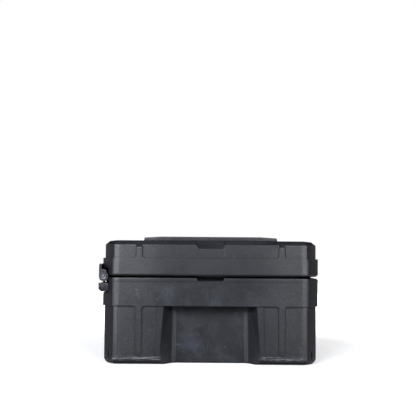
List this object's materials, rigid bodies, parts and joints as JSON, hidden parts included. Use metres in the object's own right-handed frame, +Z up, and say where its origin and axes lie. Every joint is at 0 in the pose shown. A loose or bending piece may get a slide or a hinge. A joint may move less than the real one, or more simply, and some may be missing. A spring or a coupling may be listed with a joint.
{
  "type": "battery pack in a hinged case",
  "caption": "Rechargeable battery pack in a rugged black moulded case with a latched, hinged lid, end grip recesses and sockets, switch and terminals under the lid.",
  "frame": {"origin": "centre of the flat underside of the case", "axes": "+Z up, X across the case with the latches on -X and the hinge on +X, Y along its longest side"},
  "size_m": [0.402, 0.51, 0.2326],
  "materials": {
    "case_plastic": "moulded fine texture",
    "latch_plastic": "smooth moulded",
    "seal_rubber": "matte",
    "pin_steel": "zinc plated",
    "control_plastic": "satin",
    "deck_plastic": "fine texture",
    "switch_red": "semi-gloss",
    "button_white": "semi-gloss",
    "button_green": "semi-gloss",
    "window": "clear tinted",
    "cap_rubber": "satin",
    "connector_grey": "satin",
    "contact_silver": "silver plated",
    "stud_brass": "machined",
    "insulator": "matte",
    "plate_aluminium": "mill finish",
    "bus_copper": "nickel free copper",
    "pad_foam": "closed cell foam",
    "cell_wrap": "shrink film",
    "cable_red": "silicone jacket",
    "cable_black": "silicone jacket",
    "cable_sense": "thin jacket",
    "pin_dark": "dark coated steel"
  },
  "bodies": {
    "base": {"base_shell": "case_plastic", "rim_gasket": "seal_rubber", "latch_keeper_front": "latch_plastic", "latch_keeper_rear": "latch_plastic", "keeper_screws": "pin_steel", "hinge_pins": "pin_steel", "vent_plug": "control_plastic", "deck_panel": "deck_plastic", "deck_screws": "pin_steel", "main_switch_body": "switch_red", "breaker_body": "control_plastic", "power_button_bezel": "pin_steel", "meter_housing": "control_plastic", "meter_window": "window", "socket_a_body": "control_plastic", "socket_b_body": "control_plastic", "usb_module": "control_plastic", "output_connectors": "connector_grey", "connector_contacts": "contact_silver", "terminal_blocks": "control_plastic", "terminal_studs": "stud_brass", "terminal_nuts": "pin_steel", "bay_divider": "deck_plastic", "cell_1": "cell_wrap", "cell_2": "cell_wrap", "cell_3": "cell_wrap", "cell_4": "cell_wrap", "cell_5": "cell_wrap", "cell_6": "cell_wrap", "cell_7": "cell_wrap", "cell_8": "cell_wrap", "cell_insulators": "insulator", "end_plates": "plate_aluminium", "tie_bars": "pin_steel", "tie_bar_screws": "pin_steel", "busbars": "bus_copper", "busbar_nuts": "pin_steel", "floor_pad": "pad_foam", "bms_case": "control_plastic", "bms_heatsink": "plate_aluminium", "current_shunt": "stud_brass", "fuse_holder": "control_plastic", "fuse_link": "contact_silver", "positive_cable": "cable_red", "negative_cable": "cable_black", "sense_harness": "cable_sense", "socket_wiring": "cable_red"},
    "lid": {"lid_shell": "case_plastic", "latch_pins": "pin_dark", "latch_springs": "pin_steel"},
    "latch_front": {"latch_lever_front": "latch_plastic"},
    "latch_rear": {"latch_lever_rear": "latch_plastic"},
    "switch_knob": {"main_switch_knob": "switch_red"},
    "breaker_reset": {"breaker_button": "button_white"},
    "power_key": {"power_button": "button_green"},
    "cap_a": {"socket_a_cap": "cap_rubber"},
    "cap_b": {"socket_b_cap": "cap_rubber"},
    "cap_usb": {"usb_cap": "cap_rubber"}
  },
  "joints": [
    {"name": "lid_hinge", "type": "hinge", "parent": "base", "child": "lid", "pos_m": [0.188, 0, 0.145], "axis": [0, 1, 0], "range_deg": [0, 105]},
    {"name": "latch_front_pivot", "type": "hinge", "parent": "lid", "child": "latch_front", "pos_m": [-0.195, -0.2155, 0.158], "axis": [0, -1, 0], "range_deg": [0, 15]},
    {"name": "latch_rear_pivot", "type": "hinge", "parent": "lid", "child": "latch_rear", "pos_m": [-0.195, 0.2155, 0.158], "axis": [0, -1, 0], "range_deg": [0, 15]},
    {"name": "main_switch_turn", "type": "hinge", "parent": "base", "child": "switch_knob", "pos_m": [-0.112, 0.165, 0.15], "axis": [0, 0, -1], "range_deg": [0, 90]},
    {"name": "breaker_pop", "type": "slide", "parent": "base", "child": "breaker_reset", "axis": [0, 0, 1], "range_m": [0, 0.004]},
    {"name": "power_press", "type": "slide", "parent": "base", "child": "power_key", "axis": [0, 0, -1], "range_m": [0, 0.002]},
    {"name": "socket_a_cap_hinge", "type": "hinge", "parent": "base", "child": "cap_a", "pos_m": [0.015, 0.202, 0.1485], "axis": [-1, 0, 0], "range_deg": [0, 110]},
    {"name": "socket_b_cap_hinge", "type": "hinge", "parent": "base", "child": "cap_b", "pos_m": [0.07, 0.202, 0.1485], "axis": [-1, 0, 0], "range_deg": [0, 110]},
    {"name": "usb_cap_hinge", "type": "hinge", "parent": "base", "child": "cap_usb", "pos_m": [0.125, 0.1995, 0.1485], "axis": [-1, 0, 0], "range_deg": [0, 110]}
  ]
}
